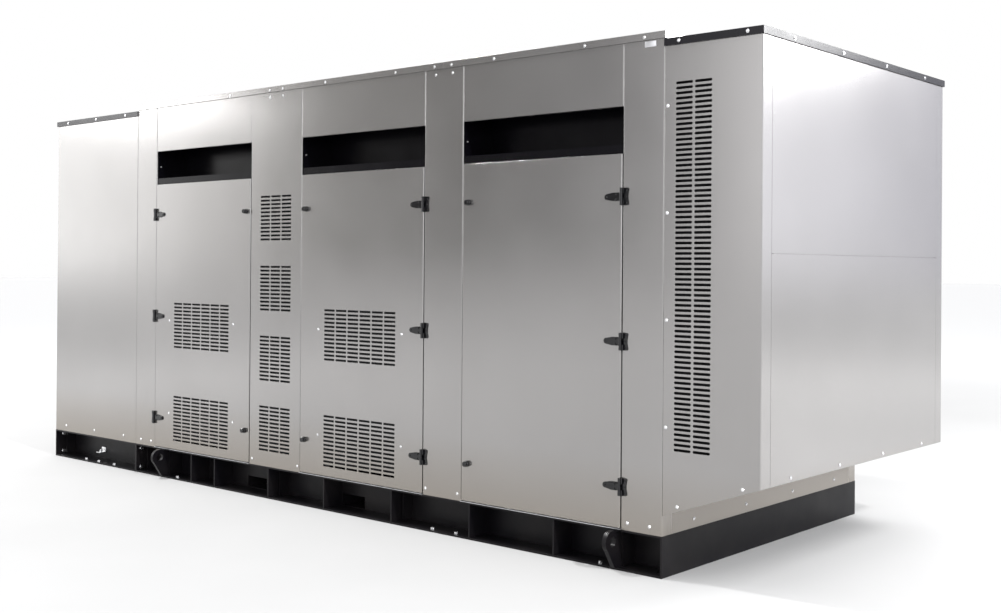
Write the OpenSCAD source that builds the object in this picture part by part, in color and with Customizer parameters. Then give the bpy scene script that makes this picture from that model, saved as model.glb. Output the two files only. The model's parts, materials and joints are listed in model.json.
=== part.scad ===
// Diesel standby generator set in a weatherproof walk-around enclosure.
// Frame: X along the set (radiator end at -X, intake hood at +X), Y across, +Z up.
// Origin: centre of the footprint, on the ground. The front side is -Y, the rear side +Y.

/* [Enclosure] */
// Width across the side panels
body_w = 2032; // [1700:1:2450]
// Height of the main roof above the ground
roof_z = 2640; // [2600:1:3200]
// Length of the radiator discharge box
discharge_l = 1148; // [950:1:1400]
// Length of the intake hood
hood_l = 546; // [450:1:660]
// Thickness of the panel sheet
sheet = 3; // [2:0.5:4]
// Outer radius of the sheet bends
bend_r = 5; // [4.5:0.5:8]
// How far the roofs stand out past the side panels
roof_overhang = 8; // [6:1:20]
// Depth of the flange round the main roof
roof_flange = 35; // [25:1:60]
// How far the end roof caps lie below the main roof
cap_drop = 39; // [37:1:80]
// Depth of the flange round an end roof cap
cap_flange = 36; // [25:1:60]
// Depth of a corner panel's wrap round the end face
corner_wrap = 85; // [60:1:120]
// Width of a backing lap behind a panel seam
lap = 30; // [20:1:40]
// Width of the seam between end panels and between roof sheets
seam = 2; // [1:0.5:4]
// Gap between a lap and the sheet in front of it
lap_gap = 0.3; // [0.1:0.1:0.6]

/* [Bays] */
// Width of one door bay
bay_w = 1112; // [900:1:1340]
// Width of a corner pillar
corner_w = 248; // [200:1:320]
// Width of the vented pillar between the first two doors
vented_w = 522; // [420:1:640]
// Width of the pillar between the last two doors
middle_w = 304; // [240:1:380]
// Depth of a pillar's return flange beside a door
pillar_return = 34; // [33:1:50]
// Height of the header panel over a bay
header_h = 309; // [240:1:380]
// Height of the air inlet over a door
inlet_h = 233; // [180:1:280]
// Depth of the recessed air inlet pocket
inlet_depth = 225; // [160:1:280]
// Height of the lip in front of an inlet pocket
inlet_lip = 42; // [20:1:60]
// Sheet of the inlet pocket
pocket_sheet = 2; // [1.5:0.5:3]
// How far the pocket's back wall rises behind the header
pocket_rise = 125; // [80:1:180]

/* [Doors] */
// Gap between a door and its pillars
door_gap = 5; // [4:0.5:8]
// Gap under a door
door_bottom_gap = 8; // [6:1:15]
// How far a door's face stands out past the pillars
door_proud = 3; // [2:0.5:5]
// Depth of a door's folded edge behind the pillar face
door_flange = 30; // [20:1:31]
// Distance from a door's end to its first hinge and latch
hinge_inset = 212; // [160:1:260]
// Distance from the bay edge to a latch's axis
latch_inset = 50; // [40:1:70]
// How far the hinge pin's axis stands out past the side panels
pin_out = 13; // [12:0.5:16]
// Radius of a hinge pin
pin_r = 4; // [3:0.5:5]
// Radius of a hinge knuckle
knuckle_r = 8; // [7:0.5:9]
// Radial running clearance of pins and shafts
running = 0.06; // [0.03:0.01:0.09]
// Gap between pieces that move past each other
free_gap = 0.5; // [0.3:0.1:1]

/* [Vents] */
// Length of a vent slot
slot_w = 97; // [80:1:100]
// Height of a vent slot
slot_h = 13; // [9:0.5:16]
// Slot pitch along a row
slot_pitch_x = 109; // [105:1:115]
// Slot pitch up a column
slot_pitch_z = 25; // [22:0.5:27]
// Columns in a door vent
door_vent_cols = 6; // [3:1:6]
// Rows in a door vent
door_vent_rows = 13; // [6:1:16]
// Height of the lower door vent above the skid
door_vent_up = 65; // [50:1:100]
// Rise from the lower to the upper door vent
door_vent_step = 648; // [500:1:700]
// Rows in a pillar vent
pillar_vent_rows = 12; // [6:1:14]
// Height of the lowest pillar vent above the skid
pillar_vent_up = 99; // [60:1:140]
// Rise from one pillar vent to the next
pillar_vent_step = 451; // [380:1:500]
// Distance from the hood's joint with the body to its slots
hood_vent_in = 66; // [50:1:100]
// Height of the lowest hood slot above the skid
hood_vent_up = 418; // [380:1:500]
// Slot pitch up the hood
hood_pitch_z = 24.7; // [22:0.1:27]
// Distance from the hood's roof flange down to its slots
hood_vent_down = 150; // [100:1:200]

/* [Skid] */
// Height of the skid
skid_h = 203; // [180:1:240]
// Thickness of the skid beam's flanges
flange_t = 10; // [8:1:12]
// Thickness of webs, gussets and end plates
web_t = 10; // [8:1:12]
// Depth of the beam's web behind its flange edge
web_recess = 140; // [110:1:170]
// Width of a cross member
cross_w = 140; // [110:1:160]
// Width of a fork pocket
fork_w = 204; // [170:1:220]
// Height of a fork pocket
fork_h = 72; // [60:1:90]
// Distance between the fork pockets' centres
fork_spacing = 979; // [900:1:1000]
// Distance from the body's left end to the middle of the fork pockets
fork_mid = 1747; // [1700:1:1770]
// Radius of a lifting eye's hole
eye_r = 25; // [20:1:28]
// Outer radius of a lifting eye
eye_boss_r = 55; // [45:1:58]
// Thickness of a lifting lug
lug_t = 25; // [18:1:32]
// Radius of an anchor hole
anchor_r = 11; // [8:0.5:14]
// Distance from an anchor hole to the skid's ends
anchor_in = 65; // [50:1:90]

/* [Generator set] */
// Height of the crankshaft above the skid
crank_up = 520; // [500:1:620]
// Height of the fan's axis above the crankshaft
fan_rise = 360; // [340:1:420]
// Fan radius
fan_r = 560; // [480:1:600]
// Radius of the crank pulley
crank_pulley_r = 110; // [90:1:130]
// Radius of the fan pulley
fan_pulley_r = 90; // [70:1:100]
// Length of the engine block
engine_l = 1650; // [1500:1:1700]
// Length of the alternator
alternator_l = 1120; // [950:1:1150]
// Radius of the alternator frame
alternator_r = 370; // [300:1:400]
// Radius of the tail pipe
tail_r = 76; // [60:1:90]

/* [Hidden] */
$fn = 48;

FRONT = 0;
REAR = 1;
UPPER = 1;
LOWER = 0;
silver = [0.78, 0.77, 0.75];
bright = [0.85, 0.86, 0.88];
black = [0.03, 0.03, 0.035];
engine_paint = [0.72, 0.66, 0.45];

// Stations along X
body_l = 2*corner_w + 3*bay_w + vented_w + middle_w;
total_l = discharge_l + body_l + hood_l;
box_x0 = -total_l/2;
body_x0 = box_x0 + discharge_l;
body_x1 = body_x0 + body_l;
hood_x1 = body_x1 + hood_l;
bay_x = [
    body_x0 + corner_w,
    body_x0 + corner_w + bay_w + vented_w,
    body_x1 - corner_w - bay_w
];
hinge_on_right = [false, true, true];
half_w = body_w/2;

// Levels
panel_top = roof_z - sheet;
header_z0 = roof_z - roof_flange - header_h;
inlet_z0 = header_z0 - inlet_h;
door_z0 = skid_h + door_bottom_gap;
door_z1 = inlet_z0 - pocket_sheet - 1;
cap_z = roof_z - cap_drop;
cap_panel_top = cap_z - sheet;
hinge_z = [skid_h + hinge_inset, (skid_h + door_z1)/2, door_z1 - hinge_inset];
latch_z = [skid_h + hinge_inset, door_z1 - hinge_inset];

// Hood underside: rises from the body to the outer end
hood_z_in = skid_h + 100;
hood_z_out = skid_h + 289;
hood_seam_z = 1566;
hood_rows = floor((cap_z - cap_flange - hood_vent_down - skid_h - hood_vent_up)/hood_pitch_z);

// Skid details, measured from the body's left end
gusset_at = [695, 967, 1557, 2113, 2725, 3358, 3966];
half_gusset_at = [32, 1583, 2751];
cross_at = [150, 900, 2430, 3350, 4000];
lug_at = [337, body_l - 300];
flange_bolts_at = [500, 3052, 3240, 4265];
extension_bolts_at = [423, 603, 819];
web_y = half_w - web_recess - web_t;
half_gusset_y = web_recess/2;
lug_gusset_y = 42;
fork_z = flange_t + 3;
eye_z = 143;
eye_out = 30;

// Screws of the roof flange, measured from the body's left end
roof_screws_at = [140, 505, 1130, 1560, 1695, 2115, 2750, 3075, 3210, 3535, 4165, 4540];
roof_seams = [
    bay_x[0] + bay_w + vented_w/2,
    bay_x[1] + bay_w + middle_w/2
];
screw_r = 9;
screw_h = 5;

// Door hardware
pin_x = door_gap/2;
leaf_t = 4;
leaf_h = 87;
frame_leaf_w = 34;
frame_leaf_waist = 5;
arm_l = 112;
arm_h = 42;
arm_tip_r = 14;
middle_knuckle_h = 30;
knob_r = 17;
knob_h = 26;
shank_r = 9;
cam_t = 5;
cam_w = 20;
cam_reach = latch_inset + 12;
cam_y = pillar_return + 2;

// Generator set stations
crank_z = skid_h + crank_up;
fan_z = crank_z + fan_rise;
radiator_x = body_x0 + 60;
radiator_t = 170;
radiator_w = body_w - 2*(inlet_depth + 60);
radiator_h = 1660;
fan_x = body_x0 + 400;
pulley_x = body_x0 + 520;
pulley_w = 40;
engine_x0 = body_x0 + 640;
engine_x1 = engine_x0 + engine_l;
housing_x1 = engine_x1 + 180;
mount_h = 70;
mount_r = 55;
foot_t = 16;
mount_xs = [cross_at[1], cross_at[2], cross_at[3]];
mount_y = [420, 430, 330];
silencer_r = 210;
silencer_x = box_x0 + 520;
silencer_z = cap_z - 480;
exhaust_y = 320;
tail_z = roof_z + 70;
control_x0 = bay_x[2] + bay_w/2 - 300;
control_w = 600;
control_d = 320;
control_y = -half_w + inlet_depth + 90;
control_z0 = 620;
control_h = 1080;
wall_open_y = radiator_w/2 - 60;

// ---------- Helpers ----------

// Moves a shape made at y = 0 to the front side, or mirrors it to the rear side
module on_side(side) mirror([0, side, 0]) translate([0, -half_w, 0]) children();

// Both sides of the enclosure
module both_sides() {
    on_side(FRONT) children();
    on_side(REAR) children();
}

// Bay coordinates: x = 0 at the hinged edge of the bay, the door along +x
module from_hinge(bay) {
    if (hinge_on_right[bay])
        translate([bay_x[bay] + bay_w, 0, 0]) mirror([1, 0, 0]) children();
    else
        translate([bay_x[bay], 0, 0]) children();
}

// Plan of a square front with two rounded corners, face along y = 0
module rounded_front(w, d, r) {
    translate([r, 0]) square([w - 2*r, d]);
    translate([0, r]) square([w, d - r]);
    translate([r, r]) circle(r);
    translate([w - r, r]) circle(r);
}

// Plan of a folded sheet: face along y = 0, returns of depth d0 at x = 0 and d1 at x = w
module folded_plan(w, d0, d1) {
    difference() {
        rounded_front(w, max(d0, d1), bend_r);
        translate([sheet, sheet]) rounded_front(w - 2*sheet, max(d0, d1), bend_r - sheet + 0.5);
        if (d0 < d1) translate([-1, d0]) square([w/2, d1]);
        if (d1 < d0) translate([w/2, d1]) square([w/2 + 1, d0]);
    }
}

// A folded sheet panel standing from z0 to z1
module folded_panel(w, z0, z1, d0, d1) {
    translate([0, 0, z0]) linear_extrude(z1 - z0) folded_plan(w, d0, d1);
}

// Square vent slots cut along y
module slots(cols, rows) {
    for (i = [0:cols - 1])
        for (j = [0:rows - 1])
            translate([i*slot_pitch_x, -10, j*slot_pitch_z]) cube([slot_w, 30, slot_h]);
}

// One vent slot with round ends, cut along y
module round_slot() {
    rotate([90, 0, 0]) translate([0, 0, -20]) linear_extrude(40) {
        translate([slot_h/2, 0]) square([slot_w - slot_h, slot_h]);
        translate([slot_h/2, slot_h/2]) circle(slot_h/2);
        translate([slot_w - slot_h/2, slot_h/2]) circle(slot_h/2);
    }
}

function vent_w(cols) = (cols - 1)*slot_pitch_x + slot_w;
function vent_h(rows) = (rows - 1)*slot_pitch_z + slot_h;

// A screw head with a washer face, seated at the origin and pointing along -y
module screw_head() {
    rotate([90, 0, 0]) {
        cylinder(h = 1.5, r = screw_r, $fn = 24);
        translate([0, 0, 1.5]) cylinder(h = screw_h - 1.5, r1 = screw_r*0.75, r2 = screw_r*0.5, $fn = 24);
    }
}

// A hexagon bolt head with a washer, seated at the origin and pointing along +z
module bolt_head(r) {
    cylinder(h = 3, r = r*1.15, $fn = 24);
    translate([0, 0, 3]) cylinder(h = r*0.8, r = r, $fn = 6);
}

// ---------- Skid ----------

// Outer channel beam along X on the front side, y = 0 at its flange edges
module skid_beam(x0, x1) {
    translate([x0, 0, 0]) cube([x1 - x0, web_recess + web_t, flange_t]);
    translate([x0, 0, skid_h - flange_t]) cube([x1 - x0, web_recess + web_t, flange_t]);
    translate([x0, web_recess, 0]) cube([x1 - x0, web_t, skid_h]);
}

// Full-height gusset from depth y back to the web
module gusset(x, y) {
    translate([x, y, 0]) cube([web_t, web_recess + web_t - y, skid_h]);
}

// Rectangular tube across the skid, with its bore left for the caller to cut
module fork_tube() {
    translate([-fork_w/2 - 8, -web_y - web_t, fork_z - 3])
        cube([fork_w + 16, 2*(web_y + web_t), fork_h + 11]);
}

module anchor_holes() {
    for (x = [body_x0 + anchor_in, body_x1 - anchor_in])
        for (y = [-1, 1])
            translate([x, y*(half_w - web_recess/2), -1]) cylinder(h = flange_t + 2, r = anchor_r);
}

module skid_frame() {
    color(black) difference() {
        union() {
            both_sides() skid_beam(body_x0, body_x1);
            both_sides() {
                for (g = gusset_at)
                    if (g < body_l - 2*web_t) gusset(body_x0 + g, 0);
                for (g = half_gusset_at)
                    if (g < body_l - 2*web_t) gusset(body_x0 + g, half_gusset_y);
                for (x = lug_at) gusset(body_x0 + x + lug_t + lap_gap, lug_gusset_y);
            }
            for (x = [body_x0, body_x1 - web_t])
                translate([x, -half_w, 0]) cube([web_t, body_w, skid_h]);
            for (c = cross_at)
                if (c < body_l - cross_w)
                    translate([body_x0 + c - cross_w/2, -web_y - 1, 0])
                        cube([cross_w, 2*web_y + 2, skid_h]);
            for (s = [-0.5, 0.5])
                translate([body_x0 + fork_mid + s*fork_spacing, 0, 0]) fork_tube();
        }
        for (s = [-0.5, 0.5])
            translate([body_x0 + fork_mid + s*fork_spacing - fork_w/2, -half_w + web_t, fork_z])
                cube([fork_w, body_w - 2*web_t, fork_h]);
        anchor_holes();
    }
}

module skid_extension() {
    color(black) {
        both_sides() skid_beam(box_x0 + web_t, body_x0 - web_t);
        both_sides() gusset(box_x0 + half_gusset_at[0], half_gusset_y);
        for (x = [box_x0, body_x0 - web_t])
            translate([x, -half_w, 0]) cube([web_t, body_w, skid_h]);
    }
}

// Lug plate in the Y-Z plane, welded to the web, with a round eye outside the flanges
module lug() {
    difference() {
        union() {
            translate([0, -eye_out, eye_z]) rotate([0, 90, 0]) cylinder(h = lug_t, r = eye_boss_r);
            rotate([90, 0, 90]) linear_extrude(lug_t) polygon([
                [web_recess, flange_t], [web_recess, skid_h - flange_t], [2, skid_h - flange_t],
                [-eye_out, eye_z], [-eye_out - eye_boss_r + 2, eye_z - 15], [-12, flange_t]
            ]);
        }
        translate([-1, -eye_out, eye_z]) rotate([0, 90, 0]) cylinder(h = lug_t + 2, r = eye_r);
    }
}

module lifting_lugs() {
    color(black) both_sides() for (x = lug_at) translate([body_x0 + x, 0, 0]) lug();
}

module skid_bolts() {
    color("silver") {
        both_sides() {
            for (x = flange_bolts_at)
                if (x < body_l - 60)
                    translate([body_x0 + x, 25, flange_t]) bolt_head(11);
            for (x = extension_bolts_at)
                translate([box_x0 + x, 25, flange_t]) bolt_head(11);
            for (z = [32, skid_h - 36])
                translate([body_x0 + web_t, 40, z]) rotate([0, 90, 0]) bolt_head(13);
            for (z = [32, skid_h - 36])
                translate([box_x0 + web_t, 60, z]) rotate([0, 90, 0]) bolt_head(13);
        }
        for (y = [-600, -200, 200, 600])
            translate([body_x0 + web_t, y, skid_h/2]) rotate([0, 90, 0]) bolt_head(13);
    }
}

module rubber_mounts() {
    color([0.05, 0.05, 0.05]) for (i = [0:2])
        for (s = [-1, 1])
            translate([body_x0 + mount_xs[i], s*mount_y[i], skid_h]) {
                cylinder(h = 8, r = mount_r);
                translate([0, 0, 8]) cylinder(h = mount_h - 16, r1 = mount_r - 4, r2 = mount_r - 14);
                translate([0, 0, mount_h - 8]) cylinder(h = 8, r = mount_r - 10);
            }
}

// ---------- Enclosure ----------

module plain_pillars() {
    color(silver) both_sides() {
        translate([body_x0, 0, 0])
            folded_panel(corner_w, skid_h, panel_top, corner_wrap, pillar_return);
        translate([body_x1 - corner_w, 0, 0])
            folded_panel(corner_w, skid_h, panel_top, pillar_return, corner_wrap);
        translate([bay_x[1] + bay_w, 0, 0])
            folded_panel(middle_w, skid_h, panel_top, pillar_return, pillar_return);
    }
}

module vented_pillar() {
    cols = 3;
    vents = floor((door_z1 - skid_h - pillar_vent_up - vent_h(pillar_vent_rows))/pillar_vent_step) + 1;
    difference() {
        folded_panel(vented_w, skid_h, panel_top, pillar_return, pillar_return);
        for (v = [0:vents - 1])
            translate([(vented_w - vent_w(cols))/2, 0, skid_h + pillar_vent_up + v*pillar_vent_step])
                slots(cols, pillar_vent_rows);
    }
}

module vented_pillars() {
    color(silver) both_sides() translate([bay_x[0] + bay_w, 0, 0]) vented_pillar();
}

// Header panel over a bay, with a folded lower edge
module door_headers() {
    color(silver) both_sides() for (x = bay_x) translate([x, 0, 0]) {
        folded_panel(bay_w, header_z0, panel_top, door_flange, door_flange);
        translate([sheet, sheet, header_z0]) cube([bay_w - 2*sheet, door_flange - sheet, sheet]);
    }
}

// Folded sill under a door, with an upstand that the door's seal meets
module door_sills() {
    lip = 6;
    upstand = 32;
    color(bright) both_sides() for (x = bay_x) translate([x, 0, skid_h]) {
        translate([0, -lip, 0]) cube([bay_w, lip + 66, sheet]);
        translate([0, 60, sheet]) cube([bay_w, 6, upstand]);
    }
}

// Recessed air inlet over a door: open at the front, and at the top behind the header
module inlet_pocket() {
    w = bay_w - 2*sheet;
    y0 = bend_r + 1;
    translate([sheet, y0, inlet_z0]) {
        translate([0, 0, -pocket_sheet]) cube([w, inlet_depth - y0, pocket_sheet]);
        cube([w, pocket_sheet, inlet_lip]);
        translate([0, inlet_depth - y0 - pocket_sheet, 0])
            cube([w, pocket_sheet, inlet_h + pocket_rise]);
        // Side walls, stepped back above the opening to clear the header's folds
        for (x = [0, w - pocket_sheet]) {
            translate([x, 0, 0]) cube([pocket_sheet, inlet_depth - y0, inlet_h]);
            translate([x, door_flange - y0, inlet_h])
                cube([pocket_sheet, inlet_depth - door_flange, pocket_rise]);
        }
    }
}

module inlet_pockets() {
    color(black) both_sides() for (x = bay_x) translate([x, 0, 0]) inlet_pocket();
}

// One sheet of the main roof from x0 to x1, with flanges at the sides and at the roof's ends
module roof_sheet(x0, x1, end0, end1) {
    y = half_w + roof_overhang;
    translate([x0, -y, roof_z - sheet]) cube([x1 - x0, 2*y, sheet]);
    for (s = [-y, y - sheet])
        translate([x0, s, roof_z - roof_flange]) cube([x1 - x0, sheet, roof_flange]);
    if (end0) translate([x0, -y, roof_z - roof_flange]) cube([sheet, 2*y, roof_flange]);
    if (end1) translate([x1 - sheet, -y, roof_z - roof_flange]) cube([sheet, 2*y, roof_flange]);
    // Lap under the next sheet
    if (!end1) {
        translate([x1 - lap, 60 - half_w, roof_z - 2*sheet - lap_gap])
            cube([lap, body_w - 120, sheet + lap_gap]);
        translate([x1, 60 - half_w, roof_z - 2*sheet - lap_gap]) cube([lap, body_w - 120, sheet]);
    }
}

module main_roof() {
    over = roof_overhang;
    color(silver) {
        roof_sheet(body_x0 - over, roof_seams[0] - seam/2, true, false);
        roof_sheet(roof_seams[0] + seam/2, roof_seams[1] - seam/2, false, false);
        roof_sheet(roof_seams[1] + seam/2, body_x1 + over, false, true);
    }
}

// Black roof cap from the body (x = 0) to its free end (x = l)
module roof_cap(l) {
    y = half_w + roof_overhang;
    translate([0, -y, cap_z - sheet]) cube([l + roof_overhang, 2*y, sheet]);
    for (s = [-y, y - sheet])
        translate([0, s, cap_z - cap_flange]) cube([l + roof_overhang, sheet, cap_flange]);
    translate([l + roof_overhang - sheet, -y, cap_z - cap_flange]) cube([sheet, 2*y, cap_flange]);
}

module end_roof_caps() {
    color(black) {
        translate([body_x1, 0, 0]) roof_cap(hood_l);
        difference() {
            translate([body_x0, 0, 0]) mirror([1, 0, 0]) roof_cap(discharge_l);
            translate([silencer_x, 0, cap_z - 10]) cylinder(h = 20, r = tail_r + 12);
        }
    }
}

// Removes what lies under the hood's sloped bottom
module above_hood_slope() {
    difference() {
        children();
        translate([0, -30, 0]) rotate([90, 0, 0]) translate([0, 0, -200]) linear_extrude(240) polygon([
            [-1, 0], [hood_l + 1, 0], [hood_l + 1, hood_z_out], [-1, hood_z_in]
        ]);
    }
}

module hood_side() {
    cols = 2;
    above_hood_slope() difference() {
        folded_panel(hood_l, hood_z_in - 20, cap_panel_top, lap, corner_wrap);
        translate([hood_vent_in, 0, skid_h + hood_vent_up])
            for (i = [0:cols - 1])
                for (j = [0:hood_rows - 1])
                    translate([i*slot_pitch_x, 0, j*hood_pitch_z]) round_slot();
    }
    // Folded lower edge along the slope
    rotate([90, 0, 0]) translate([0, 0, -lap]) linear_extrude(lap - sheet + 0.5) polygon([
        [sheet, hood_z_in + 1], [hood_l - sheet, hood_z_out - 1],
        [hood_l - sheet, hood_z_out - 1 + sheet], [sheet, hood_z_in + 1 + sheet]
    ]);
}

module hood_sides() {
    color(silver) both_sides() translate([body_x1, 0, 0]) hood_side();
}

// End panel: outer face at x = 0, between the corner wraps and lapped behind them
module end_panel(z0, z1) {
    y = half_w - corner_wrap;
    translate([-sheet, seam - y, z0]) cube([sheet, 2*(y - seam), z1 - z0]);
    for (s = [0, 1])
        mirror([0, s, 0]) translate([-2*sheet - lap_gap, 0, z0]) {
            translate([0, y - lap, 0]) cube([sheet + lap_gap, lap - seam, z1 - z0]);
            translate([0, y - lap, 0]) cube([sheet, 2*lap, z1 - z0]);
        }
}

module hood_end_panels() {
    flange_y = half_w - corner_wrap - lap;
    color(silver) translate([hood_x1, 0, 0]) {
        // Lower panel, lapped behind the upper one and folded in along its bottom
        end_panel(hood_z_out, hood_seam_z - seam/2);
        translate([-2*sheet - lap_gap, -flange_y, hood_seam_z - seam/2 - lap])
            cube([sheet + lap_gap, 2*flange_y, lap]);
        translate([-2*sheet - lap_gap, -flange_y, hood_seam_z - seam/2])
            cube([sheet, 2*flange_y, lap]);
        translate([-lap - sheet, -flange_y, hood_z_out]) cube([lap, 2*flange_y, sheet]);
        // Upper panel
        end_panel(hood_seam_z + seam/2 + lap, cap_panel_top);
        translate([-sheet, seam + corner_wrap - half_w, hood_seam_z + seam/2])
            cube([sheet, body_w - 2*corner_wrap - 2*seam, lap]);
    }
}

// Wall across the end of the body, between the corner pillars' wraps
module end_wall(x) {
    y = half_w - corner_wrap;
    translate([x, -y, skid_h]) cube([sheet, 2*y, panel_top - skid_h]);
}

module end_walls() {
    color(silver) {
        difference() {
            end_wall(body_x0);
            translate([body_x0 - 1, -wall_open_y, skid_h + 190])
                cube([sheet + 2, 2*wall_open_y, radiator_h - 330]);
            x_cylinder(body_x0 - 1, exhaust_y, silencer_z, sheet + 2, tail_r + 25);
        }
        difference() {
            end_wall(body_x1 - sheet);
            translate([body_x1 - sheet - 1, -wall_open_y, hood_vent_up + skid_h])
                cube([sheet + 2, 2*wall_open_y, cap_z - skid_h - hood_vent_up - 300]);
        }
    }
}

// Discharge opening in the box's end panel: its sill and head above the skid, and its half width
grille_z0 = skid_h + 190;
grille_z1 = cap_z - cap_flange - 260;
grille_y = half_w - corner_wrap - 90;
blade_pitch = 70;

module discharge_end_panel() {
    difference() {
        end_panel(skid_h, cap_panel_top);
        translate([-2*sheet - 1, -grille_y, grille_z0])
            cube([2*sheet + 2, 2*grille_y, grille_z1 - grille_z0]);
    }
}

// Frame and sloped blades behind the discharge opening
module discharge_grille() {
    depth = 60;
    translate([-sheet - lap_gap - depth, 0, 0]) {
        for (s = [-1, 1])
            translate([0, s*(grille_y + 10) - 10, grille_z0 - 20])
                cube([depth, 20, grille_z1 - grille_z0 + 40]);
        for (z = [grille_z0 - 20, grille_z1])
            translate([0, -grille_y, z]) cube([depth, 2*grille_y, 20]);
        for (z = [grille_z0 + 20:blade_pitch:grille_z1 - blade_pitch])
            translate([6, -grille_y, z]) rotate([0, -45, 0]) cube([62, 2*grille_y, sheet]);
        for (y = [-grille_y/3, grille_y/3])
            translate([0, y - 4, grille_z0]) cube([8, 8, grille_z1 - grille_z0]);
    }
}

module discharge_panels() {
    color(silver) {
        both_sides() translate([box_x0, 0, 0])
            folded_panel(discharge_l, skid_h, cap_panel_top, corner_wrap, lap);
        translate([box_x0, 0, 0]) mirror([1, 0, 0]) discharge_end_panel();
        translate([box_x0, 0, 0]) mirror([1, 0, 0]) discharge_grille();
    }
}

// ---------- Hinges, doors and latches ----------

// Outline of the hinge's pillar plate: round corners and a waist on the free side
module frame_leaf_plan() {
    r = 9;
    w = frame_leaf_w;
    h = leaf_h/2;
    polygon([
        [0, -h], [r - w, -h], [-w, r - h], [frame_leaf_waist - w, -r],
        [frame_leaf_waist - w, r], [-w, h - r], [r - w, h], [0, h]
    ]);
    for (s = [-1, 1]) translate([r - w, s*(h - r)]) circle(r);
}

// Pillar half of a strap hinge: plate, outer knuckles and fixed pin
module hinge_frame_leaf() {
    half = leaf_h/2;
    m = middle_knuckle_h/2 + free_gap;
    translate([-3, 0, 0]) rotate([90, 0, 0]) linear_extrude(leaf_t) frame_leaf_plan();
    for (z = [-half, m]) {
        translate([pin_x, -pin_out, z]) cylinder(h = half - m, r = knuckle_r);
        translate([-14, -pin_out, z]) cube([14 + pin_x, pin_out, half - m]);
    }
    translate([pin_x, -pin_out, -half]) cylinder(h = leaf_h, r = pin_r);
}

module hinge_frame_leaves() {
    color(black) for (side = [FRONT, REAR])
        on_side(side) for (bay = [0:2])
            from_hinge(bay) for (z = hinge_z) translate([0, 0, z]) hinge_frame_leaf();
}

// Outline of the hinge's arm: widest past the knuckle, round at its tip
module arm_plan(inset) {
    m = middle_knuckle_h/2;
    h = arm_h/2 - inset;
    tip_x = arm_l - arm_tip_r;
    tip_r = arm_tip_r - inset;
    polygon([
        [door_gap + 4 + inset, -m], [16 + inset, -m], [24 + inset, -h], [60, -h],
        [tip_x, -tip_r], [tip_x, tip_r],
        [60, h], [24 + inset, h], [16 + inset, m], [door_gap + 4 + inset, m]
    ]);
    translate([tip_x, 0]) circle(tip_r);
}

// Door half of a strap hinge: tapered arm on the door's face and the middle knuckle
module hinge_door_leaf() {
    m = middle_knuckle_h/2;
    difference() {
        union() {
            translate([pin_x, -pin_out, -m]) cylinder(h = 2*m, r = knuckle_r);
            translate([pin_x, -pin_out, -m]) cube([14, pin_out - door_proud, 2*m]);
            translate([0, -door_proud, 0]) rotate([90, 0, 0]) linear_extrude(leaf_t) arm_plan(0);
            // Raised middle of the arm
            translate([0, -door_proud - leaf_t, 0]) rotate([90, 0, 0]) linear_extrude(4) arm_plan(6);
        }
        translate([pin_x, -pin_out, -m - 1]) cylinder(h = 2*m + 2, r = pin_r + running);
    }
}

module hinge_door_leaves(bay, side) {
    color(black) on_side(side) from_hinge(bay)
        for (z = hinge_z) translate([0, 0, z]) hinge_door_leaf();
}

// Door: a sheet pan with rolled edges, vents in the first two and holes for its latches
module door(bay, side) {
    w = bay_w - 2*door_gap;
    h = door_z1 - door_z0;
    d = door_proud + door_flange;
    latch_x = bay_w - latch_inset;
    color(silver) on_side(side) from_hinge(bay) difference() {
        translate([door_gap, -door_proud, 0]) {
            folded_panel(w, door_z0, door_z1, d, d);
            for (z = [door_z0, door_z1 - sheet])
                translate([sheet, sheet, z]) cube([w - 2*sheet, d - sheet, sheet]);
        }
        if (bay < 2)
            for (z = [0, door_vent_step])
                translate([(bay_w - vent_w(door_vent_cols))/2, 0, skid_h + door_vent_up + z])
                    slots(door_vent_cols, door_vent_rows);
        for (z = latch_z)
            translate([latch_x, 10, z]) rotate([90, 0, 0]) cylinder(h = 20, r = shank_r + running);
    }
}

// Quarter-turn latch: round knob, shank and cam, free of the pillar at rest
module latch(bay, side, level) {
    face = door_proud + free_gap;
    color(black) on_side(side) from_hinge(bay)
        translate([bay_w - latch_inset, 0, latch_z[level]]) {
            translate([0, -face, 0]) rotate([90, 0, 0]) rotate_extrude() polygon([
                [0, 0], [knob_r - 2, 0], [knob_r, 3], [knob_r, 8], [knob_r - 4, 12],
                [knob_r - 4, 16], [knob_r - 2, knob_h - 4], [knob_r - 5, knob_h], [0, knob_h]
            ]);
            translate([0, cam_y + cam_t, 0]) rotate([90, 0, 0])
                cylinder(h = cam_y + cam_t + face, r = shank_r);
            translate([-cam_w/2, cam_y, -cam_w/2]) cube([cam_w, cam_t, cam_w/2 + cam_reach]);
        }
}

// ---------- Panel screws ----------

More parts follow.
